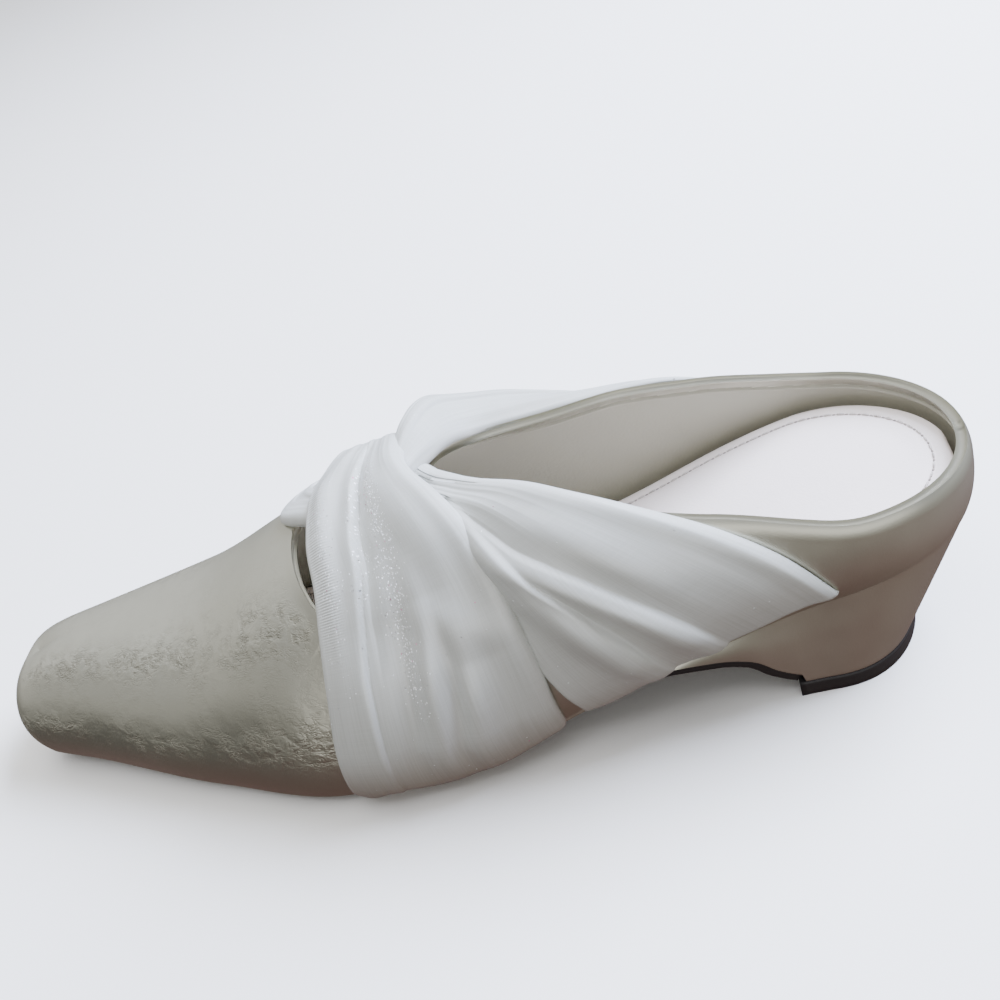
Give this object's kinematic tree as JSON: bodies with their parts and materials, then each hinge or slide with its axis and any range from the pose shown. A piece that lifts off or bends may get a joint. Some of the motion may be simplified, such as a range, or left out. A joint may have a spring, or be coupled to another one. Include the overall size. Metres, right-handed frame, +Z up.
{
  "type": "mule",
  "caption": "Left slip-on mule with a squared toe, low collar and covered wedge heel; pleated ribbon strips cross the instep and hook into a soft knot.",
  "frame": {"origin": "the middle of the shoe in plan, on the floor", "axes": "+X from toe to heel, +Y towards the inner (medial) side of the left foot, +Z up"},
  "size_m": [0.2428, 0.0838, 0.0704],
  "materials": {
    "upper": "metallic champagne leather, finely creased",
    "insole": "matt white sock leather, stitched near its edge",
    "outsole": "matt black",
    "heel_wedge": "covered in the same metallic champagne leather",
    "top_lift": "matt black",
    "wrap_outer": "pearl white organza over satin, pleated",
    "wrap_inner": "pearl white organza over satin, pleated"
  },
  "bodies": {
    "root": {"upper": "upper", "insole": "insole", "outsole": "outsole", "heel_wedge": "heel_wedge", "top_lift": "top_lift", "wrap_outer": "wrap_outer", "wrap_inner": "wrap_inner"}
  },
  "joints": []
}
